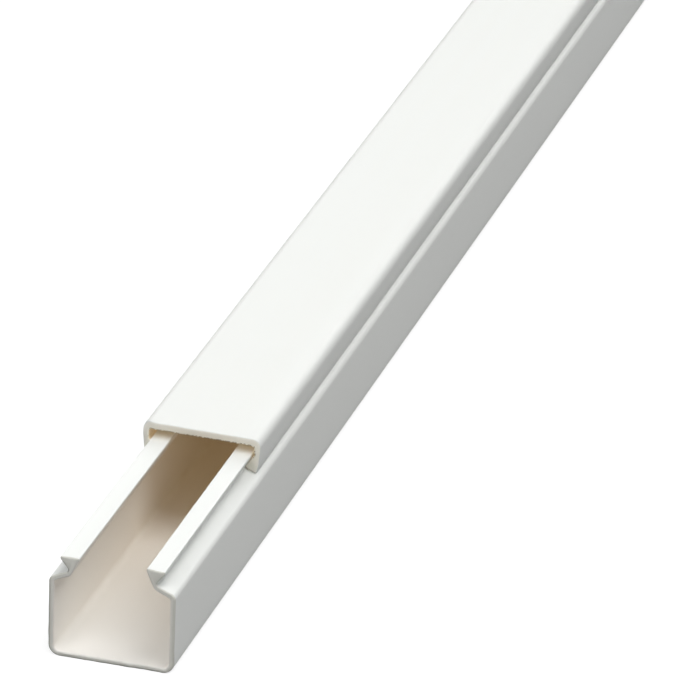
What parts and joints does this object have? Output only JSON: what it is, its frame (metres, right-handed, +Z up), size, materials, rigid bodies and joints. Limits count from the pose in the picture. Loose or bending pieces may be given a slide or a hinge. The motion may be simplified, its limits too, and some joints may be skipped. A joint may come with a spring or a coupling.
{
  "type": "cable trunking",
  "caption": "Length of mini cable trunking: a U-shaped channel with inturned snap heads and a clip-on lid that slides along it, shown slid back from the open near end.",
  "frame": {"origin": "centre of the channel's flat underside, halfway along its length", "axes": "+X across the section, +Y along the length from the open near end to the far end, +Z up from the underside to the lid"},
  "size_m": [0.02, 1.0436, 0.0194],
  "materials": {
    "channel_pvc": "satin",
    "lid_pvc": "satin"
  },
  "bodies": {
    "channel": {"base_channel": "channel_pvc"},
    "cover": {"lid": "lid_pvc"}
  },
  "joints": [
    {"name": "lid_slide", "type": "slide", "parent": "channel", "child": "cover", "axis": [0, 1, 0], "range_m": [-0.0436, 0.4564]}
  ]
}
